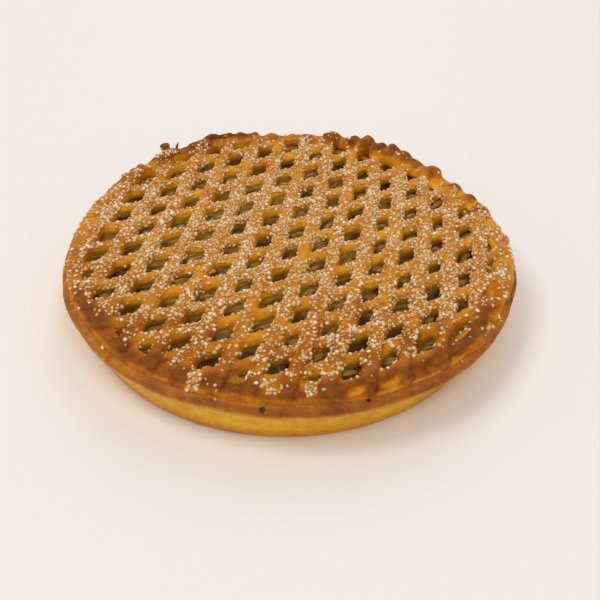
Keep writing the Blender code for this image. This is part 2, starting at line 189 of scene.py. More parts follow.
# sugar
# count, length, least distance apart, tones
COARSE_SUGAR = (6050, (2.0, 3.4), 1.45, (0.22, 1.0))
FINE_SUGAR = (7700, (1.2, 2.0), 0.9, (0.0, 0.8))
CRYSTAL_KINDS = 14
CRYSTAL_WIDTH, CRYSTAL_THICKNESS = (0.6, 0.95), (0.38, 0.66)  # as shares of its length
CRYSTAL_GIRDLES = ((0.62, 0.86), (-0.7, 1.0))  # height and reach, under a point at 1
CRYSTAL_UNEVEN = (0.72, 1.2)
CRYSTAL_TILT = 0.35
CRYSTAL_SIT = 0.3  # of its half thickness, from the dough up to its middle
STREWN_FROM = np.array((-0.20, 0.28, 0.939))  # the sugar missed the flanks that face away from here
# stretches of upper strips that the sugar missed: x, y, half width and half length
BARE_PATCHES = ((12.0, -10.0, 5.5, 9.0), (33.0, -28.0, 4.5, 6.0), (-15.0, -67.0, 4.5, 6.0))

# browning, on a scale from 0 for golden crumb to 1 for burnt, with painted shade added on the same scale
CRUMB_BAKE = 0.16  # low between the strips
TOP_BAKE, OUTER_BAKE = 0.24, 0.08  # more on the strips' tops, and towards the rim
# the first makes the strips darker towards the front; the second is the rim's brown in front
FRONT_DARKENING, FRONT_RIM_BAKE = 0.13, 0.70
CREST_BAKE = (109.0, 9.0, 0.2)  # more round this direction, over this spread, by this much
KNOB_BAKE, POCKET_BAKE = 0.72, 0.38
DARKEST_BAKE = 0.78
# the foot's share is painted shade near the floor, with some browning
WALL_BAKE, FOOT_BAKE_AND_SHADE, LIP_BAKE = 0.09, 0.22, 0.46
PALE_CREASE = (262.0, 14.0, 0.18)  # less in the crease round this direction

# stage: lens in millimetres, places in metres
LENS, SENSOR = 46.114, 36.0  # this, the tilt and the place fitted to the rim and the base
CAMERA_DOWN, CAMERA_ROLL = math.radians(40.7146), math.radians(0.6426)
CAMERA_PLACE = (0.00897, -0.39760, 0.32882)
SKY_COLOUR, SKY_STRENGTH = (1.0, 0.97, 0.94, 1.0), 0.47
# name, place, aim, width, watts, colour
LIGHTS = (("key", (-2.5, 0.07, 4.2), (0.0, 0.0, 0.03), 2.2, 72.0, (1.0, 0.98, 0.96)),
          ("overhead", (0.5, -1.1, 2.4), (0.0, -0.1, 0.03), 1.4, 16.5, (1.0, 0.98, 0.97)),
          ("window", (0.2, 1.7, 1.5), (0.0, 0.0, 0.03), 1.2, 8.0, (1.0, 0.99, 0.98)))
FLOOR_HALF = 3.0


def unit(value):
    return np.clip(value, 0.0, 1.0)


def blend(low, high, value):
    """A smooth step from 0 at low to 1 at high."""
    share = unit((value - low) / (high - low))
    return share * share * (3.0 - 2.0 * share)


class Noise:
    """Smooth random bumps between -1 and 1, the same for the same seed."""

    CELLS = 40

    def __init__(self, seed):
        self.table = np.random.default_rng(seed).uniform(-1.0, 1.0, (self.CELLS,) * 3)

    def __call__(self, places, size):
        cell = places / size
        low = np.floor(cell).astype(int)
        part = cell - low
        part = part * part * (3.0 - 2.0 * part)
        total = 0.0
        for corner in itertools.product((0, 1), repeat=3):
            share = np.prod(np.where(corner, part, 1.0 - part), axis=-1)
            spot = (low + corner) % self.CELLS
            total = total + share * self.table[spot[..., 0], spot[..., 1], spot[..., 2]]
        return total


bumps = Noise(SEED)


def unevenness(places, kinds):
    return sum(rise * bumps(places + shift, size) for rise, size, shift in kinds)


def joined(*values):
    """Coordinates from arrays or single numbers of each."""
    return np.stack(np.broadcast_arrays(*values), axis=-1)


def flat_noise(x, y, size, layer):
    return bumps(joined(x, y, layer), size)


def angle_of(x, y):
    return np.arctan2(y, x)


def whole_turn(steps):
    return 2.0 * math.pi * np.arange(steps) / steps


def on_circle(radius, angle):
    return joined(radius * np.cos(angle), radius * np.sin(angle))


def measures(places):
    """The coordinates of places, with their distance from the middle and their direction."""
    x, y, z = places.T
    return x, y, z, np.hypot(x, y), angle_of(x, y)


def of_length_one(vectors):
    return vectors / np.linalg.norm(vectors, axis=-1, keepdims=True)


def heading(line):
    """Unit vectors along a line of places."""
    return of_length_one(np.gradient(line, axis=0))


def band_faces(rows, around, turned=False):
    """Faces between rows of points that run round."""
    here = np.arange(rows - 1)[:, None] * around
    k = np.arange(around)[None, :]
    after = (k + 1) % around
    corners = here + k, here + around + k, here + around + after, here + after
    if turned:
        corners = corners[:1] + corners[:0:-1]
    return joined(*corners).reshape(-1, 4)


def halved(quads):
    return np.vstack((quads[:, [0, 1, 2]], quads[:, [0, 2, 3]]))


def sphere(rings, around):
    """Rows of places on a ball of radius 1, from its top down."""
    tilt = math.pi * np.arange(rings + 1)[:, None] / rings
    turn = whole_turn(around)[None, :]
    return joined(np.sin(tilt) * np.cos(turn), np.sin(tilt) * np.sin(turn), np.cos(tilt))


def lip_reach(angle):
    sway, towards = LIP_SWAY
    oval, along = LIP_OVAL
    reach = LIP_RADIUS + sway * np.cos(angle - towards) + oval * np.cos(2.0 * (angle - along))
    for lobes, height, phase in LIP_WAVES:
        reach = reach + height * np.sin(lobes * angle + phase)
    return reach - humps(angle, (LIP_FRONT,))


def tip_reach(angle):
    """How far the strips' ends reach: further in at the front, almost to the lip's edge at the back."""
    front = blend(0.15, -0.75, np.sin(angle))
    return lip_reach(angle) - (END_INSET_BACK + (END_INSET_FRONT - END_INSET_BACK) * front)


def humps(angle, peaks, power=2):
    degrees = np.degrees(angle) % 360.0
    return sum(rise * np.exp(-np.abs((degrees - middle) / half) ** power) for middle, half, rise in peaks)


def at_right_back(angle):
    return blend(0.2, 0.4, np.sin(angle)) * blend(0.1, 0.4, np.cos(angle))


def knobs(angle):
    """How much the dough rose in knobs, blunter than other humps."""
    return humps(angle, RIM_KNOBS, 3)


def rim_top(angle):
    """Height of the dough along the rim: pressed flat in front, risen in knobs at the back."""
    return np.interp(np.degrees(angle) % 360.0, *zip(*RIM_LEVEL)) + knobs(angle)


def lattice_place(u, v):
    """Places on the top that are u steps along the lower strips and v steps along the upper ones."""
    u, v = np.asarray(u, float)[..., None], np.asarray(v, float)[..., None]
    straight = LATTICE_CENTRE + (ROW * u + COLUMN * v) * STRIP_PITCH
    return straight + ROW_BOW * u * u + COLUMN_BOW * v * v + FAN * u * v


def cross(first, second):
    return first[..., 0] * second[..., 1] - first[..., 1] * second[..., 0]


def lattice_steps(x, y):
    """The steps (u, v) of places on the top: the rule turned round by Newton's method."""
    places = joined(x, y)
    basis = joined(ROW, COLUMN) * STRIP_PITCH
    steps = (places - LATTICE_CENTRE) @ np.linalg.inv(basis).T
    for _ in range(4):
        u, v = steps[..., :1], steps[..., 1:]
        error = places - lattice_place(u[..., 0], v[..., 0])
        du = ROW * STRIP_PITCH + 2.0 * ROW_BOW * u + FAN * v
        dv = COLUMN * STRIP_PITCH + 2.0 * COLUMN_BOW * v + FAN * u
        steps = steps + joined(cross(error, dv), cross(du, error)) / cross(du, dv)[..., None]
    return steps[..., 0], steps[..., 1]


def crossing_wander():
    """How far each crossing lies off its even place; the solids draw the same."""
    draw = random.Random(SEED)
    wander = [(draw.uniform(-1, 1), draw.uniform(-1, 1)) for _ in CROSSINGS]
    return np.reshape(wander, (2 * STEPS + 1, -1, 2)) * CROSSING_WANDER


WANDER = crossing_wander()


def add_object(name, data):
    thing = bpy.data.objects.new(name, data)
    bpy.context.scene.collection.objects.link(thing)
    return thing


def make_object(name, verts, faces, finish, smooth=True):
    """A mesh object from places in mm and an array of faces with equal corner counts."""
    mesh = bpy.data.meshes.new(name)
    corners = faces.shape[1]
    mesh.vertices.add(len(verts))
    mesh.vertices.foreach_set("co", (np.asarray(verts) * MM).astype(np.float32).ravel())
    mesh.loops.add(faces.size)
    mesh.loops.foreach_set("vertex_index", faces.astype(np.int32).ravel())
    mesh.polygons.add(len(faces))
    mesh.polygons.foreach_set("loop_start", np.arange(0, faces.size, corners, dtype=np.int32))
    mesh.update(calc_edges=True)
    mesh.validate()
    if smooth:
        mesh.shade_smooth()
    if finish:
        mesh.materials.append(finish)
    return add_object(name, mesh)


def merged(parts):
    """One array of places and one of faces, from pairs of them."""
    starts = np.cumsum([0] + [len(places) for places, _ in parts])
    return (np.vstack([places for places, _ in parts]),
            np.vstack([faces + start for (_, faces), start in zip(parts, starts)]))


def paint(mesh, name, values):
    mesh.attributes.new(name, "FLOAT", "POINT").data.foreach_set("value", values.astype(np.float32))


def read_rows(items, field, kind=np.float32):
    """Three numbers of each item of a mesh."""
    values = np.empty(len(items) * 3, kind)
    items.foreach_get(field, values)
    return values.reshape(-1, 3)


def mesh_places(mesh):
    return read_rows(mesh.vertices, "co").astype(float) / MM


def mesh_normals(mesh):
    return read_rows(mesh.vertex_normals, "vector").astype(float)


# materials

def srgb(red, green, blue):
    """A colour of 0 to 255 steps, as the linear values that the shader takes."""
    linear = tuple((step / 255.0 / 12.92) if step <= 10 else ((step / 255.0 + 0.055) / 1.055) ** 2.4
                   for step in (red, green, blue))
    return linear + (1.0,)


class Material:
    """A node material, with short calls for the nodes that it needs."""

    def __init__(self, name):
        self.material = bpy.data.materials.new(name)
        self.material.use_nodes = True
        self.nodes = self.material.node_tree.nodes
        self.links = self.material.node_tree.links
        self.shader = self.nodes["Principled BSDF"]
        self.coordinates = self.new("TexCoord").outputs["Object"]

    def new(self, kind, **values):
        node = self.nodes.new("ShaderNode" + kind)
        self.fill(node, **values)
        return node

    def join(self, source, node, socket):
        """Links an output to an input, or sets the input's value."""
        if isinstance(source, bpy.types.NodeSocket):
            self.links.new(source, node.inputs[socket])
        else:
            node.inputs[socket].default_value = source

    def fill(self, node, **values):
        for name, value in values.items():
            self.join(value, node, name.replace("_", " "))

    def attribute(self, name):
        node = self.new("Attribute")
        node.attribute_name = name
        return node.outputs["Fac"]

    def noise(self, size, detail=3.0, roughness=0.55, along_rows=1.0):
        """Noise with features of about that size, in mm, and that many times as long along the rows."""
        turned = self.new("Mapping", Vector=self.coordinates, Scale=(along_rows, 1.0, 1.0),
                          Rotation=(0.0, 0.0, math.atan2(ROW[1], ROW[0])))
        turned.vector_type = "TEXTURE"
        return self.new("TexNoise", Vector=turned.outputs["Vector"], Scale=1.0 / (size * MM), Detail=detail,
                        Roughness=roughness).outputs["Fac"]

    def math(self, operation, first, second, clamp=False):
        node = self.new("Math")
        node.operation = operation
        node.use_clamp = clamp
        self.join(first, node, 0)
        self.join(second, node, 1)
        return node.outputs[0]

    def spread(self, value, low, high, to_low=0.0, to_high=1.0):
        node = self.new("MapRange", Value=value, From_Min=low, From_Max=high, To_Min=to_low, To_Max=to_high)
        node.interpolation_type = "SMOOTHSTEP"
        return node.outputs["Result"]

    def ramp(self, value, stops):
        node = self.new("ValToRGB", Fac=value)
        elements = node.color_ramp.elements
        while len(elements) < len(stops):
            elements.new(0.5)
        for element, (place, colour) in zip(elements, stops):
            element.position = place
            element.color = colour
        return node.outputs["Color"]

    def mix(self, share, first, second):
        node = self.new("Mix")
        node.data_type = "RGBA"
        self.join(share, node, 0)
        self.join(first, node, 6)
        self.join(second, node, 7)
        return node.outputs[2]

    def bump(self, height, depth, under=None):
        """A bump of that depth in mm; under is a bump to build on."""
        node = self.new("Bump", Height=height, Strength=1.0, Distance=depth * MM)
        if under:
            self.join(under, node, "Normal")
        return node.outputs["Normal"]

    def finish(self, colour, roughness, normal, **constants):
        self.fill(self.shader, Base_Color=colour, Roughness=roughness, Normal=normal, **constants)
        return self.material


WET_SHEEN = (1.0, 0.86, 0.52, 1.0)
PLAIN_SHEEN = (1.0, 0.9, 0.76, 1.0)
BAKE_STOPS = ((0.0, srgb(248, 196, 28)), (0.2, srgb(226, 158, 20)), (0.4, srgb(208, 132, 14)),
              (0.6, srgb(168, 94, 14)), (0.8, srgb(122, 62, 12)), (1.0, srgb(54, 26, 8)))


def baked_dough(name, speckle, sheen, tint):
    """Its colour runs from golden crumb to burnt brown by the browning attribute, which also carries painted
    shade.
    """
    m = Material(name)
    patches = m.math("SUBTRACT", m.noise(7.0, 4.0), 0.5)
    fine = m.math("SUBTRACT", m.noise(1.1, 3.0, 0.7), 0.5)
    bake_and_shade = m.math("ADD", m.attribute("bake_and_shade"), m.math("MULTIPLY", patches, 0.42))
    bake_and_shade = m.math("ADD", bake_and_shade, m.math("MULTIPLY", fine, speckle), clamp=True)
    colour = m.ramp(bake_and_shade, BAKE_STOPS)
    colour = m.mix(m.attribute("wet"), colour, srgb(146, 112, 38))
    frost = m.math("MULTIPLY", m.attribute("frost"), m.spread(m.noise(1.1, 2.0), 0.35, 0.6))
    colour = m.mix(m.math("MULTIPLY", frost, 0.42), colour, srgb(188, 106, 8))
    pits = m.bump(m.noise(0.8, 3.0, 0.6), 0.16)
    dents = m.bump(m.noise(1.7, 2.0), 0.25, pits)
    lumps = m.bump(m.noise(3.2, 2.0), 0.6, dents)
    roughness = m.spread(m.noise(2.5, 2.0), 0.3, 0.7, 0.38, 0.58)
    return m.finish(colour, roughness, lumps, Specular_IOR_Level=sheen, Specular_Tint=tint)


def jelly():
    m = Material("gooseberry jelly")
    # darker where the jelly lies deep, with painted shade on the near side of each hole and painted light
    # where it climbs the far strip
    tone = m.math("ADD", m.noise(2.4, 3.0, along_rows=4.0), m.math("MULTIPLY", m.attribute("depth"), -0.42))
    colour = m.ramp(tone, ((0.1, srgb(56, 26, 4)), (0.3, srgb(92, 55, 8)), (0.5, srgb(136, 99, 22)),
                           (0.7, srgb(164, 132, 46))))
    lumps = m.bump(m.noise(1.8, 3.0, along_rows=3.0), 0.6)
    return m.finish(colour, 0.18, lumps, Specular_IOR_Level=0.26, Specular_Tint=WET_SHEEN)


def berry_skin():
    m = Material("gooseberry skin")
    veins = m.attribute("vein")
    tone = m.noise(2.0, 3.0, along_rows=4.0)
    colour = m.ramp(tone, ((0.34, srgb(74, 40, 6)), (0.5, srgb(112, 74, 14)), (0.66, srgb(154, 120, 46))))
    colour = m.mix(m.math("MULTIPLY", veins, 0.25), colour, srgb(182, 162, 86))
    lumps = m.bump(m.noise(1.5, 3.0, along_rows=3.0), 0.4)
    return m.finish(colour, 0.2, lumps, Specular_IOR_Level=0.36, Specular_Tint=WET_SHEEN)


def sugar_crystal(name):
    m = Material(name)
    tone = m.attribute("tone")
    colour = m.ramp(tone, ((0.0, srgb(196, 130, 56)), (0.35, srgb(214, 164, 90)), (0.75, srgb(228, 196, 142)),
                           (1.0, srgb(247, 232, 206))))
    rough = m.bump(m.noise(0.5, 2.0), 0.12)
    return m.finish(colour, 0.34, rough, Specular_IOR_Level=0.4)


# lattice

def tube(spots, foot, shoulder, top, bottom):
    """A closed dough strip along flat places, with its half widths, top and bottom at each."""
    ahead = heading(spots)
    left = joined(-ahead[:, 1], ahead[:, 0])
    turn = whole_turn(SECTION_POINTS)
    side = np.sign(np.cos(turn)) * np.abs(np.cos(turn)) ** SECTION_SQUARE
    lift = 0.5 + 0.5 * np.sign(np.sin(turn)) * np.abs(np.sin(turn)) ** SECTION_SQUARE
    half = foot[:, None] + (shoulder - foot)[:, None] * lift
    flat = spots[:, None, :] + left[:, None, :] * (half * side)[:, :, None]
    height = bottom[:, None] + (top - bottom)[:, None] * lift
    return closed_tube(np.concatenate((flat, height[:, :, None]), axis=2))


def closed_tube(rings):
    """A closed skin over rings of points, with its faces pointing out."""
    count = len(rings)
    verts = np.vstack((rings.reshape(-1, 3), rings[0].mean(axis=0), rings[-1].mean(axis=0)))
    k = np.arange(SECTION_POINTS)
    after = np.roll(k, -1)
    first = count * SECTION_POINTS
    end = first - SECTION_POINTS
    faces = np.vstack((halved(band_faces(count, SECTION_POINTS, turned=True)),
                       joined(first, after, k),
                       joined(first + 1, end + k, end + after)))
    return verts, faces


def strip_line(family, index):
    """Places along the middle of a strip, as far as it lies on the tart, and v at each."""
    steps = np.arange(-STEPS - 0.5, STEPS + 0.5, PATH_STEP)
    across = np.full_like(steps, index + 0.5)
    u, v = (steps, across) if family == "row" else (across, steps)
    spots = lattice_place(u, v)
    knots = np.arange(-STEPS, STEPS + 1) + 0.5
    drawn = WANDER[:, index + STEPS] if family == "row" else WANDER[index + STEPS]
    for axis in (0, 1):
        spots[:, axis] += np.interp(steps, knots, drawn[:, axis])
    wobble = flat_noise(*spots.T, 17.0, 3.1 + index + (9.0 if family == "row" else 0.0))
    normal = COLUMN if family == "row" else ROW
    spots += wobble[:, None] * STRIP_WOBBLE * normal
    radius = np.linalg.norm(spots, axis=1)
    outward = np.abs(np.sum(heading(spots) * spots, axis=1) / radius)
    slant = np.sqrt(unit(1.0 - outward ** 2))
    limit = tip_reach(angle_of(*spots.T)) - SLANTED_END * slant
    pulled = np.minimum(radius, limit)
    keep = radius < limit + ALONG_RIM * (1.0 - outward) ** 2
    spots *= (pulled / radius)[:, None]
    runs = [list(run) for inside, run in itertools.groupby(range(len(keep)), keep.__getitem__) if inside]
    if not runs:
        return None
    longest = max(runs, key=len)
    return spots[longest], v[longest]


def strip(family, index):
    """A strip with rounded ends, or None where it would be too short."""
    line = strip_line(family, index)
    if line is None:
        return None
    spots, v = line
    walked = np.concatenate(([0.0], np.cumsum(np.linalg.norm(np.diff(spots, axis=0), axis=1))))
    length = walked[-1]
    if length < SHORTEST_STRIP:
        return None
    foot, shoulder = ROW_HALVES if family == "row" else COLUMN_HALVES
    top = np.full(len(spots), ROW_TOP if family == "row" else COLUMN_TOP)
    layer = 40.0 + index * 7.3 + (0.0 if family == "row" else 3.7)
    widen = 1.0 + STRIP_UNEVEN * flat_noise(*spots.T, 11.0, layer)
    top += TOP_UNEVEN * flat_noise(*spots.T, 13.0, layer + 1.7)
    if family == "column":
        top += CROSSING_BULGE * np.cos(math.pi * (v - 0.5)) ** 4
    angle = angle_of(*spots.T)
    radius = np.linalg.norm(spots, axis=1)
    front = blend(0.15, -0.5, np.sin(angle))
    near_rim = blend(RIM_BLEND, 2.0, tip_reach(angle) - radius)
    top += (rim_top(angle) + TIP_RISE + TIP_RISE_FRONT * front - top) * near_rim
    nearest = np.minimum(walked, length - walked)
    widen *= 1.0 + END_WIDEN * np.exp(-((nearest - END_ROUND) / END_SPREAD) ** 2)
    bottom = np.full(len(spots), STRIP_BOTTOM)
    near = unit(nearest / (END_ROUND + (END_ROUND_FRONT - END_ROUND) * front))
    taper = np.sqrt(np.clip(1.0 - (1.0 - near) ** 2, 0.03, 1.0))
    middle = LEDGE_TOP - TIP_SUNK
    top = middle + (top - middle) * (TIP_HEIGHT[0] + TIP_HEIGHT[1] * taper)
    bottom = middle + (bottom - middle) * taper
    widen *= TIP_WIDTH[0] + TIP_WIDTH[1] * taper
    return tube(spots, foot * widen, shoulder * widen, top, bottom)


def ball(centre, radius, top):
    """A small ball of dough."""
    rings, around = 7, 12
    verts = sphere(rings, around).reshape(-1, 3) * radius + (*centre, top - radius)
    return verts, halved(band_faces(rings + 1, around))


def corner_fills():
    """Dough that ran together in the acute corners of the holes."""
    reach, radius, top = CORNER_FILL
    between = of_length_one(ROW + COLUMN)
    for i, j in CROSSINGS:
        centre = lattice_place(i + 0.5, j + 0.5) + WANDER[i + STEPS, j + STEPS]
        for side in (-1.0, 1.0):
            spot = centre + between * side * reach
            if np.linalg.norm(spot) < HOLLOW_RADIUS - radius:
                yield ball(spot, radius, top)


def crest():
    """The burnt flap that stands along the rim at the back."""
    start, stop = CREST_STRETCH
    angle = np.radians(np.linspace(start, stop, 60))
    ragged = flat_noise(np.degrees(angle) * 10.0, 0.0, 12.0, 5.0)
    radius = lip_reach(angle) - CREST_INSET + CREST_RAGGED[0] * ragged
    spots = on_circle(radius, angle)
    ends = np.minimum(blend(start, start + 3.0, np.degrees(angle)),
                      blend(stop, stop - 3.0, np.degrees(angle)))
    top = CREST_ENDS + ends * (CREST_FOOT - CREST_ENDS + humps(angle, CREST_PEAKS) + CREST_RAGGED[1] * ragged)
    half = CREST_HALF * (0.5 + 0.5 * ends)
    return tube(spots, half, half, np.minimum(top, HIGHEST - 0.5), np.full(len(spots), STRIP_BOTTOM + 1.0))


def rim_dough():
    """The lattice's outer edge, pressed onto the ledge all the way round."""
    angle = np.radians(np.arange(0.0, 362.0, 1.0))
    degrees = np.degrees(angle) % 360.0
    half = np.interp(degrees, *zip(*RIM_HALVES))
    radius = tip_reach(angle) - half
    spots = on_circle(radius, angle)
    front = blend(0.15, -0.5, np.sin(angle))
    top = rim_top(angle) + RIM_UNEVEN * flat_noise(*spots.T, 9.0, 21.0)
    top -= RIM_SINK + (RIM_SINK_FRONT - RIM_SINK) * front
    return tube(spots, half, half - 0.8, top, np.full(len(spots), STRIP_BOTTOM + 1.0))


def curled_band(degrees, path, halves, lean=0.0):
    """A band of dough that stands up from the rim along a path of (radius, height)."""
    steps = np.linspace(0.0, len(path) - 1.0, 5 * len(path))
    turn = np.radians(degrees + lean * steps / steps[-1])
    side = joined(-np.sin(turn), np.cos(turn), 0.0)
    radius, height = (np.interp(steps, range(len(path)), values) for values in zip(*path))
    middle = joined(radius * np.cos(turn), radius * np.sin(turn), height)
    normal = np.cross(side, heading(middle))
    around = whole_turn(SECTION_POINTS)
    slim = np.sqrt(unit(1.15 - (steps / steps[-1]) ** 4))[:, None, None]
    rings = middle[:, None] + slim * (halves[0] * np.cos(around)[None, :, None] * side[:, None]
                                      + halves[1] * np.sin(around)[None, :, None] * normal[:, None])
    return closed_tube(rings)


def pocket_share(x, y, pocket):
    """How much a place lies in a hollow of the rim's dough, from 0 to 1."""
    degrees, reach, along, across = pocket[:4]
    turn = math.radians(degrees)
    ahead = y * math.cos(turn) - x * math.sin(turn)
    outward = x * math.cos(turn) + y * math.sin(turn) - reach
    return np.exp(-(ahead / along) ** 4 - (outward / across) ** 4)


def lattice_crust():
    """All the strips, fused softly into one crust by a voxel remesh."""
    parts = [strip(family, index) for family in ("row", "column") for index in range(-STEPS, STEPS)]
    parts = [part for part in parts if part] + list(corner_fills()) + [crest(), rim_dough()]
    parts.append(curled_band(CURL_DIRECTION, CURL_PATH, CURL_HALVES))
    parts.append(curled_band(SPIKE_DIRECTION, SPIKE_PATH, SPIKE_HALVES, SPIKE_LEAN))
    raw = make_object("strips", *merged(parts), None)
    fuse = raw.modifiers.new("fuse", "REMESH")
    fuse.mode = "VOXEL"
    fuse.voxel_size = VOXEL * MM
    ease = raw.modifiers.new("ease", "SMOOTH")
    ease.factor = EASE_SHARE
    ease.iterations = EASE_ROUNDS
    graph = bpy.context.evaluated_depsgraph_get()
    mesh = bpy.data.meshes.new_from_object(raw.evaluated_get(graph))
    bpy.data.objects.remove(raw, do_unlink=True)
    mesh.name = "lattice_crust"
    mesh.shade_smooth()
    places, normals = mesh_places(mesh), mesh_normals(mesh)
    places += normals * unevenness(places, CRUST_LUMPS)[:, None]
    for pocket in RIM_POCKETS:
        sink = pocket_share(*places.T[:2], pocket) * pocket[4]
        places[:, 2] -= sink * blend(LEDGE_TOP + 0.8, LEDGE_TOP + 2.0, places[:, 2])
    places[:, 2] = np.minimum(places[:, 2], HIGHEST)
    mesh.vertices.foreach_set("co", (places * MM).astype(np.float32).ravel())
    mesh.update()
    paint_lattice(mesh)
    mesh.materials.append(baked_dough("lattice dough", 0.24, 0.2, WET_SHEEN))
    return add_object("lattice_crust", mesh)


def ribbon_shares(x, y):
    """How near a place is to the middle of a lower and of an upper strip, from 0 to 1."""
    u, v = lattice_steps(x, y)
    return [unit(1.0 - np.abs((steps - 0.5) - np.round(steps - 0.5)) * STRIP_PITCH * SQUARE_PITCH / half)
            for steps, half in ((v, ROW_REACH), (u, COLUMN_REACH))]


def paint_lattice(mesh):
    """Browning with painted shade low on the flanks, wet flanks and sugar's frost at every point."""
    places, normals = mesh_places(mesh), mesh_normals(mesh)
    x, y, z, radius, angle = measures(places)
    up = blend(0.1, 0.85, normals[:, 2])
    top = blend(33.0, 36.0, z)
    to_tip = tip_reach(angle) - radius
    front = blend(0.2, -0.7, np.sin(angle))
    rim = blend(19.0 - 3.0 * front, 8.0 - 2.0 * front, to_tip)
    bake_and_shade = CRUMB_BAKE + TOP_BAKE * top * up + OUTER_BAKE * blend(60.0, 125.0, radius)
    bake_and_shade += 0.14 * bumps(places, 11.0)
    # paler on the lower strips' arms, darker on the edges of the tops
    on_row, on_column = ribbon_shares(x, y)
    bake_and_shade -= 0.09 * blend(0.3, 0.0, on_column) * blend(0.1, 0.5, on_row)
    turned = blend(0.25, 0.5, normals[:, 2]) * blend(0.92, 0.65, normals[:, 2])
    bake_and_shade += 0.08 * turned * blend(33.4, 34.6, z)
    # flanks darker towards the jelly: browning, and painted shade low in the holes
    flank = (1.0 - up) * blend(30.8, 31.8, z)
    bake_and_shade += flank * (0.10 + 0.26 * bumps(places + 200.0, 9.0) + 0.22 * blend(34.2, 32.0, z))
    bake_and_shade += rim * 0.04 * blend(31.2, 32.4, z)
    rim_brown = FRONT_RIM_BAKE + 0.14 * bumps(places + 240.0, 8.0) + 0.08 * top
    rim_brown -= 0.24 * blend(3.4, 1.0, to_tip)
    bake_and_shade += (rim_brown - bake_and_shade) * 0.85 * rim * front * blend(31.0, 32.0, z)
    # browner high up, and darker towards the front
    bake_and_shade += 0.12 * blend(37.6, 42.0, z) + FRONT_DARKENING * blend(-15.0, -90.0, y)
    bake_and_shade += 0.16 * blend(38.5, 41.5, z) * blend(0.45, 0.75, np.sin(angle))
    bake_and_shade += blend(38.0, 40.5, z) * humps(angle, (CREST_BAKE,))
    # pale inside the knobs at the right back, brown on them
    bake_and_shade -= 0.10 * at_right_back(angle) * blend(5.0, 9.0, to_tip) * blend(26.0, 18.0, to_tip)
    right = blend(-0.1, 0.2, np.cos(angle))
    browned = right * blend(0.5, 2.0, knobs(angle)) * blend(16.5, 9.5, to_tip)
    bake_and_shade += (KNOB_BAKE + 0.1 * bumps(places + 270.0, 6.0) - bake_and_shade) * 0.85 * browned
    for pocket in RIM_POCKETS:
        share = pocket_share(x, y, pocket)
        bake_and_shade = bake_and_shade * (1.0 - share) + POCKET_BAKE * share
    wet = blend(33.9, 32.2, z + 1.2 * bumps(places + 160.0, 9.0)) * blend(126.0, 119.0, radius)
    wet = wet * (0.75 + 0.25 * bumps(places, 4.0))
    paint(mesh, "bake_and_shade", np.clip(bake_and_shade, 0.0, DARKEST_BAKE))
    paint(mesh, "wet", unit(wet))
    paint(mesh, "frost", sugar_density(places, normals))


def sugar_density(places, normals):
    """How thick the sugar lies: most on the upper strips and the crossings, little on the rim."""
    x, y, z, radius, angle = measures(places)
    on_row, on_column = ribbon_shares(x, y)
    further = 0.62 * blend(-0.5, 0.3, bumps(places + 120.0, 11.0))
    up = blend(0.28 - further, 0.72 - further, normals @ STREWN_FROM)
    top = blend(31.4, 33.3, z + 0.9 * blend(100.0, 132.0, radius))
    arms = 0.35 + 0.65 * blend(-0.5, 0.3, flat_noise(x, y, 12.0, 17.0))
    strip_share = np.maximum(arms * blend(0.0, 0.3, on_row), blend(0.0, 0.3, on_column))
    strip_share *= 1.0 - 0.45 * blend(-20.0, -90.0, y) - 0.34 * blend(45.0, 100.0, y)
    # in patches, fading towards the rim and on the knobs
    patches = blend(-0.7, 0.2, bumps(places, 15.0) + 0.8 * bumps(places + 30.0, 4.5))
    patches = patches * (0.15 + 0.85 * blend(-0.6, -0.25, bumps(places + 60.0, 8.0)))
    to_tip = tip_reach(angle) - radius
    front = blend(-0.1, -0.75, np.sin(angle))
    side = blend(0.2, 0.9, np.abs(np.cos(angle)))
    fade = blend(-2.0 - 6.0 * side * (1.0 - front) + 8.0 * front, 18.0 + 14.0 * front, to_tip)
    fade = np.maximum(fade, 0.10 * (1.0 - front) + 0.03)
    missed = 0.6 + 0.35 * blend(0.6, 2.0, knobs(angle))
    fade *= 1.0 - at_right_back(angle) * blend(32.0, 12.0, to_tip) * missed
    # more along the rim at the left
    left = blend(-0.3, -0.8, np.cos(angle)) * (1.0 - front)
    strip_share = np.maximum(strip_share, 0.75 * left * blend(11.0, 5.0, to_tip))
    bare = 0.0
    for centre_x, centre_y, half, long in BARE_PATCHES:
        across = ((x - centre_x) * COLUMN[1] - (y - centre_y) * COLUMN[0]) / half
        along = ((x - centre_x) * COLUMN[0] + (y - centre_y) * COLUMN[1]) / long
        bare = np.maximum(bare, np.exp(-across ** 4 - along ** 4))
    density = up * top * strip_share * (0.25 + 0.75 * patches) * fade * unit(1.0 - 1.3 * bare)
    for pocket in RIM_POCKETS[:3]:
        density = np.maximum(density, 1.6 * up * pocket_share(x, y, pocket))
    spike = humps(angle, ((SPIKE_DIRECTION + SPIKE_LEAN, 1.6, 1.0),)) * blend(38.6, 39.4, z)
    return density * (1.0 - unit(2.0 * spike))


# dish

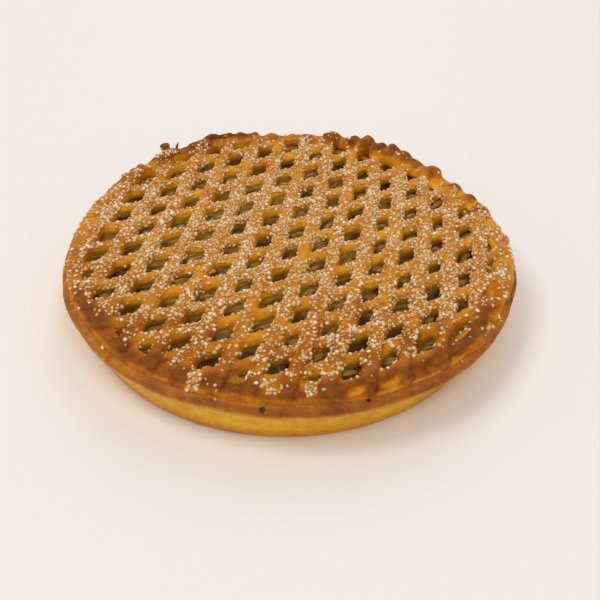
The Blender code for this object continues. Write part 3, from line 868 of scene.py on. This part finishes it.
def dish_profile(reach):
    """Places (radius, height) from the middle of the underside out, up and back in, for each direction."""
    one = np.ones_like(reach)
    turn = np.radians(np.linspace(-90.0, 0.0, 9)[1:])
    lower = [(BAND_TOP_RADIUS + (reach - BAND_TOP_RADIUS) * math.cos(t) ** 0.8,
              LIP_MIDDLE + (LIP_MIDDLE - BAND_TOP) * math.sin(t)) for t in turn]
    turn = np.radians(np.linspace(0.0, 90.0, 11)[1:])
    upper = [(reach - LIP_ROLL + LIP_ROLL * math.cos(t),
              LIP_MIDDLE + (LEDGE_TOP - LIP_MIDDLE) * math.sin(t)) for t in turn]
    foot = [(BASE_RADIUS * share, 0.0) for share in (0.0, 0.35, 0.7, 0.9, 0.97)]
    foot += [(BASE_RADIUS + out, up) for out, up in FOOT_EDGE]
    side, start = foot[-1]
    wall = [(side + (BAND_TOP_RADIUS - side) * share, start + (BAND_TOP - start) * share)
            for share in np.linspace(0.0, 1.0, 16)[1:]]
    ledge = [(reach - LIP_ROLL + (HOLLOW_RADIUS - reach + LIP_ROLL) * share, LEDGE_TOP)
             for share in np.linspace(0.0, 1.0, 9)[1:]]
    inner = [(HOLLOW_RADIUS + out, up) for out, up in HOLLOW_EDGE]
    inner += [(FLOOR_RADIUS * share, FLOOR_TOP) for share in (1.0, 0.5, 0.0)]
    profile = foot + wall + lower + upper + ledge + inner
    return np.array([(radius * one, height * one) for radius, height in profile])


def base_crust():
    """The dish of dough, with its lip."""
    angle = whole_turn(DISH_SEGMENTS)
    profile = dish_profile(lip_reach(angle))
    radius, height = profile[:, 0], profile[:, 1]
    places = joined(radius * np.cos(angle), radius * np.sin(angle), height)
    outside = blend(120.0, 131.0, radius) * blend(0.2, 3.0, height)
    lip = blend(BAND_TOP, LIP_MIDDLE, height) * blend(132.0, 136.0, radius)
    push = outside * unevenness(places, DISH_LUMPS) * (0.6 + 0.7 * lip)
    out = joined(np.cos(angle), np.sin(angle), 0.6 * lip)
    places = places + out * push[..., None]
    beside, narrow, depth = CREASE
    crease = np.exp(-((radius - tip_reach(angle) - beside) / narrow) ** 2) * blend(30.0, 30.9, height)
    ragged = 0.6 + 0.4 * np.sin(angle * 23.0)
    places[..., 2] -= depth * crease * ragged * blend(0.5, -0.3, np.sin(angle))
    pockets = blend(HOLLOW_RADIUS, HOLLOW_RADIUS + 4.0, radius) * blend(
        tip_reach(angle), tip_reach(angle) - 2.5, radius) * (height > LEDGE_TOP - 0.1)
    places[..., 2] += pockets * (0.35 * bumps(places, 6.0))
    # painted shade: the bubbles' holes are darkened in the colour
    bubble_shade = np.zeros_like(radius)
    for degrees, reach, half in LIP_BUBBLES:
        away = np.linalg.norm(places[..., :2] - on_circle(reach, math.radians(degrees)), axis=-1)
        hole = np.exp(-(away / half) ** 4) * (height > LIP_MIDDLE)
        places[..., 2] -= BUBBLE_DEPTH * hole
        bubble_shade = np.maximum(bubble_shade, hole)
    flat = places.reshape(-1, 3)
    finish = baked_dough("crust dough", 0.34, 0.3, PLAIN_SHEEN)
    thing = make_object("baked_dish", flat, band_faces(*radius.shape, turned=True), finish)
    paint(thing.data, "bake_and_shade", dish_bake_and_shade(flat, bubble_shade.ravel(), crease.ravel()))
    paint(thing.data, "wet", (blend(134.0, 130.8, radius) * (height > BAND_TOP)).ravel())
    paint(thing.data, "frost", np.zeros(len(flat)))
    return thing


def dish_bake_and_shade(places, bubble_shade, crease):
    """Browning of the dish, from its yellow wall to its brown lip, with painted shade at the wall's foot and
    in the lip's bubbles.
    """
    z, radius, angle = measures(places)[2:]
    front = blend(0.1, -0.6, np.sin(angle))
    lip = blend(20.6 + 1.6 * front, 23.4 + 5.0 * front, z + 0.9 * bumps(places, 9.0))
    lip = lip * blend(131.0, 134.5, radius)
    left = blend(-0.2, -0.95, np.cos(angle)) * blend(0.1, -0.5, np.sin(angle))
    top = blend(30.4, 30.9, z) * blend(lip_reach(angle) - 5.2, lip_reach(angle) - 7.0, radius)
    lip_bake = LIP_BAKE - 0.14 * left + 0.14 * blend(25.0, 29.0, z)
    # painted shade near the floor darkens the foot of the wall, with some browning
    bake_and_shade = WALL_BAKE + FOOT_BAKE_AND_SHADE * blend(11.0, 0.0, z) + lip * lip_bake
    bake_and_shade -= top * (0.42 - 0.36 * front)
    bake_and_shade -= crease * humps(angle, (PALE_CREASE,))
    streaks = bumps(joined(np.degrees(angle) * 0.4, z * 1.6, 0.0), 3.0)
    bake_and_shade += 0.05 * streaks * lip + 0.08 * bumps(places, 14.0)
    # painted shade darkens the bubbles' holes
    return unit(bake_and_shade + 0.8 * bubble_shade)


# filling

def hole_draws():
    """How deep the jelly sank in each hole of the lattice, and the berries in some."""
    draw = random.Random(SEED + 5)
    dips, fruit = {}, []
    for i, j in CROSSINGS:
        spot = lattice_place(i, j)
        dip = draw.uniform(*JELLY_DIP)
        has_berry = draw.random() < BERRY_SHARE
        size, top = draw.uniform(*BERRY_RADIUS), draw.uniform(*BERRY_TOP)
        shift = draw.uniform(*BERRY_SHIFT_X), draw.uniform(*BERRY_SHIFT_Y)
        turn = math.radians(draw.uniform(*BERRY_SPIN)), draw.uniform(*BERRY_LEAN)
        if np.linalg.norm(spot) < HOLLOW_RADIUS - 8.0:
            dips[i, j] = dip
            if has_berry:
                fruit.append((spot + shift, size, top, turn))
    return dips, fruit


def filling(hole_dips):
    """The jelly, sunk in each hole of the lattice."""
    radius = np.linspace(0.0, FILLING_RADIUS, JELLY_RINGS)[:, None]
    angle = whole_turn(JELLY_AROUND)[None, :]
    x, y = radius * np.cos(angle), radius * np.sin(angle)
    u, v = lattice_steps(x, y + DIP_SHIFT)
    hole_u, hole_v = np.round(u), np.round(v)
    inside = (np.cos(math.pi * (u - hole_u)) * np.cos(math.pi * (v - hole_v))) ** 0.8
    dips = np.zeros_like(x)
    for (i, j), dip in hole_dips.items():
        dips[(hole_u == i) & (hole_v == j)] = dip
    near_rim = blend(84.0, 108.0, radius)
    depth = inside * (dips + RIM_DIP * near_rim)
    climb = blend(0.12, 0.40, v - hole_v) * (1.0 - near_rim)
    z = JELLY_LEVEL - depth + JELLY_CLIMB * climb
    for rise, size, layer in JELLY_RIPPLES:
        z = z + rise * flat_noise(x, y, size, layer)
    top = joined(x, y, z)
    floor = FLOOR_TOP + 0.3
    narrowed = FLOOR_RADIUS / HOLLOW_RADIUS
    wall = joined(x[-1] * narrowed, y[-1] * narrowed, floor)[None]
    middle = joined(0.0 * x[-1], 0.0, floor)[None]
    places = np.concatenate((top, wall, middle))
    thing = make_object("jelly", places.reshape(-1, 3), band_faces(len(places), JELLY_AROUND), jelly())
    depth_and_shade = np.zeros(places.shape[:2])
    near = blend(0.05, -0.25, v - hole_v)
    # on top of its depth: painted shade on the near side of each hole, more along the rim, and painted light
    # where the jelly climbs
    depth_and_shade[:JELLY_RINGS] = depth / JELLY_DIP[1] + (0.35 + 0.5 * near_rim) * near - 0.3 * climb
    paint(thing.data, "depth", depth_and_shade.ravel())
    return thing


def berries(fruit):
    """Berries that stand out of the jelly."""
    parts = []
    shape = sphere(BERRY_RINGS, BERRY_AROUND)
    quads = band_faces(BERRY_RINGS + 1, BERRY_AROUND)
    vein = unit(np.cos(whole_turn(BERRY_AROUND) * 5.0) * 1.6 - 0.6) * np.hypot(shape[..., 0], shape[..., 1])
    for (x, y), size, top, (spin, lean) in fruit:
        turned = Matrix.Rotation(spin, 3, "Z") @ Matrix.Rotation(math.pi / 2 + lean, 3, "X")
        local = shape.reshape(-1, 3) * np.array(BERRY_SHAPE) * size
        local = local @ np.array(turned).T
        local += local / size * (0.35 * bumps(local + x, 4.0))[:, None]
        local += np.array((x, y, top - local[:, 2].max()))
        keep_in = np.minimum(1.0, (FILLING_RADIUS - 0.6) / np.hypot(local[:, 0], local[:, 1]))
        local[:, :2] *= keep_in[:, None]
        parts.append((local, quads))
    thing = make_object("berries", *merged(parts), berry_skin())
    paint(thing.data, "vein", np.tile(vein.ravel(), len(parts)))
    return thing


# sugar

def crystal_shapes(draw, number):
    """A few blunt, uneven crystals, each with a crown of five facets on five sides."""
    around = 5
    even = [(0.0, 0.0, 1.0)]
    for height, reach in CRYSTAL_GIRDLES:
        even += [(x, y, height) for x, y in on_circle(reach, whole_turn(around))]
    shapes = [np.array(even) * draw.uniform(*CRYSTAL_UNEVEN, (len(even), 3)) for _ in range(number)]
    faces, low = [], 1 + around
    for step in range(around):
        after = (step + 1) % around
        faces.append((0, 1 + step, 1 + after))
        faces += [(1 + step, low + step, 1 + after), (1 + after, low + step, low + after)]
    faces += [(low, low + step + 1, low + step) for step in range(1, around - 1)]
    return shapes, np.array(faces)


def spread_spots(surfaces, count, apart, draw):
    """Spots and normals on meshes, by density, no two closer than apart to each other."""
    corners, weights, normals = [], [], []
    for mesh, density in surfaces:
        mesh.calc_loop_triangles()
        index = read_rows(mesh.loop_triangles, "vertices", np.int32)
        places, vertex_normals = mesh_places(mesh), mesh_normals(mesh)
        thick = density(places, vertex_normals)[index].mean(axis=1)
        chosen = thick > 0.01
        index = index[chosen]
        tri = places[index]
        area = 0.5 * np.linalg.norm(np.cross(tri[:, 1] - tri[:, 0], tri[:, 2] - tri[:, 0]), axis=1)
        corners.append(tri)
        weights.append(area * thick[chosen])
        normals.append(vertex_normals[index].mean(axis=1))
    corners, weights, normals = np.vstack(corners), np.concatenate(weights), np.vstack(normals)
    picks = draw.choice(len(weights), size=count * 4, p=weights / weights.sum())
    a, b = draw.uniform(0.0, 1.0, (2, len(picks)))
    flip = a + b > 1.0
    a, b = np.where(flip, 1.0 - a, a), np.where(flip, 1.0 - b, b)
    tri = corners[picks]
    spots = tri[:, 0] + (tri[:, 1] - tri[:, 0]) * a[:, None] + (tri[:, 2] - tri[:, 0]) * b[:, None]
    kept, taken = [], {}
    for number, spot in enumerate(spots):
        cell = tuple(np.floor(spot / apart).astype(int))
        near = itertools.product(*((step - 1, step, step + 1) for step in cell))
        if any(math.dist(spot, other) < apart for key in near for other in taken.get(key, ())):
            continue
        taken.setdefault(cell, []).append(tuple(spot))
        kept.append(number)
        if len(kept) == count:
            break
    return spots[kept], of_length_one(normals[picks[kept]])


def strew(name, surfaces, grains, draw):
    """One mesh of many sugar crystals, each lying on the surface below it."""
    count, sizes, apart, tones = grains
    spots, facing = spread_spots(surfaces, count, apart, draw)
    shapes, faces = crystal_shapes(draw, CRYSTAL_KINDS)
    parts, tone = [], []
    for spot, up in zip(spots, facing):
        up = of_length_one(up + draw.uniform(-CRYSTAL_TILT, CRYSTAL_TILT, 3))
        side = of_length_one(np.cross(up, draw.normal(size=3)))
        ahead = np.cross(up, side)
        long = draw.uniform(*sizes) * 0.5
        stretch = long * np.array((1.0, draw.uniform(*CRYSTAL_WIDTH), draw.uniform(*CRYSTAL_THICKNESS)))
        local = shapes[draw.integers(len(shapes))] * stretch
        parts.append((spot + up * stretch[2] * CRYSTAL_SIT + local @ np.array((side, ahead, up)), faces))
        tone.append(draw.uniform(*tones))
    verts, faces = merged(parts)
    verts[:, 2] = np.minimum(verts[:, 2], HIGHEST + 0.2)
    thing = make_object(name, verts, faces, sugar_crystal(name.replace("_", " ")), smooth=False)
    paint(thing.data, "tone", np.repeat(tone, len(shapes[0])))
    return thing


def dish_sugar(places, normals):
    """The sugar on the ledge and the lip, between the strips' ends."""
    z, radius, angle = measures(places)[2:]
    back_left = blend(-0.1, -0.8, np.cos(angle)) * blend(-0.55, -0.2, np.sin(angle))
    right = blend(0.5, 0.9, np.cos(angle)) * 0.6
    front = blend(-0.2, -0.6, np.sin(angle)) * 0.14
    reach = blend(lip_reach(angle) - 1.0, lip_reach(angle) - 7.0, radius)
    patches = blend(-0.3, 0.5, bumps(places, 9.0))
    strewn = 0.06 + back_left * 0.7 + right + front
    return (z > 29.5) * (normals[:, 2] > 0.4) * reach * patches * strewn * 0.5


# stage, light and camera

def camera():
    data = bpy.data.cameras.new("camera")
    data.sensor_width = SENSOR
    data.lens = LENS
    eye = add_object("camera", data)
    cos_down, sin_down = math.cos(CAMERA_DOWN), math.sin(CAMERA_DOWN)
    cos_roll, sin_roll = math.cos(CAMERA_ROLL), math.sin(CAMERA_ROLL)
    across, level = Vector((1.0, 0.0, 0.0)), Vector((0.0, sin_down, cos_down))
    turned = Matrix((across * cos_roll + level * sin_roll, level * cos_roll - across * sin_roll,
                     Vector((0.0, -cos_down, sin_down)))).transposed().to_4x4()
    turned.translation = CAMERA_PLACE
    eye.matrix_world = turned
    bpy.context.scene.camera = eye


def area_light(name, place, aim, size, watts, colour):
    data = bpy.data.lights.new(name, "AREA")
    data.shape = "DISK"
    data.size = size
    data.energy = watts
    data.color = colour
    lamp = add_object(name, data)
    lamp.location = place
    lamp.rotation_euler = (Vector(aim) - Vector(place)).to_track_quat("-Z", "Y").to_euler()


def surroundings():
    world = bpy.data.worlds.new("studio")
    world.use_nodes = True
    sky = world.node_tree.nodes["Background"]
    sky.inputs["Color"].default_value = SKY_COLOUR
    sky.inputs["Strength"].default_value = SKY_STRENGTH
    bpy.context.scene.world = world
    bpy.context.scene.view_settings.view_transform = "Standard"
    for light in LIGHTS:
        area_light(*light)
    finish = Material("pale floor")
    corners = np.array(((-1, -1, 0), (1, -1, 0), (1, 1, 0), (-1, 1, 0))) * FLOOR_HALF / MM
    floor = make_object("floor", corners, np.array(((0, 1, 2, 3),)), finish.material, smooth=False)
    finish.finish(srgb(241, 237, 232), 0.7, finish.bump(finish.noise(4.0), 0.05))


surroundings()
camera()

draw = np.random.default_rng(SEED + 3)
lattice = lattice_crust()
dish = base_crust()
hole_dips, berry_draws = hole_draws()
jelly_body = filling(hole_dips)
fruit = berries(berry_draws)
surfaces = ((lattice.data, sugar_density), (dish.data, dish_sugar))
coarse = strew("coarse_sugar", surfaces, COARSE_SUGAR, draw)
fine = strew("fine_sugar", surfaces, FINE_SUGAR, draw)

for piece, slot in ((lattice, "lattice_crust"), (dish, "baked_crust"), (jelly_body, "gooseberry_jelly"),
                    (fruit, "gooseberry_jelly"), (coarse, "coarse_sugar"), (fine, "coarse_sugar")):
    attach(piece, "root")
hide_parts("lattice_top")
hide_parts("base_crust")
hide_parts("gooseberry_filling")
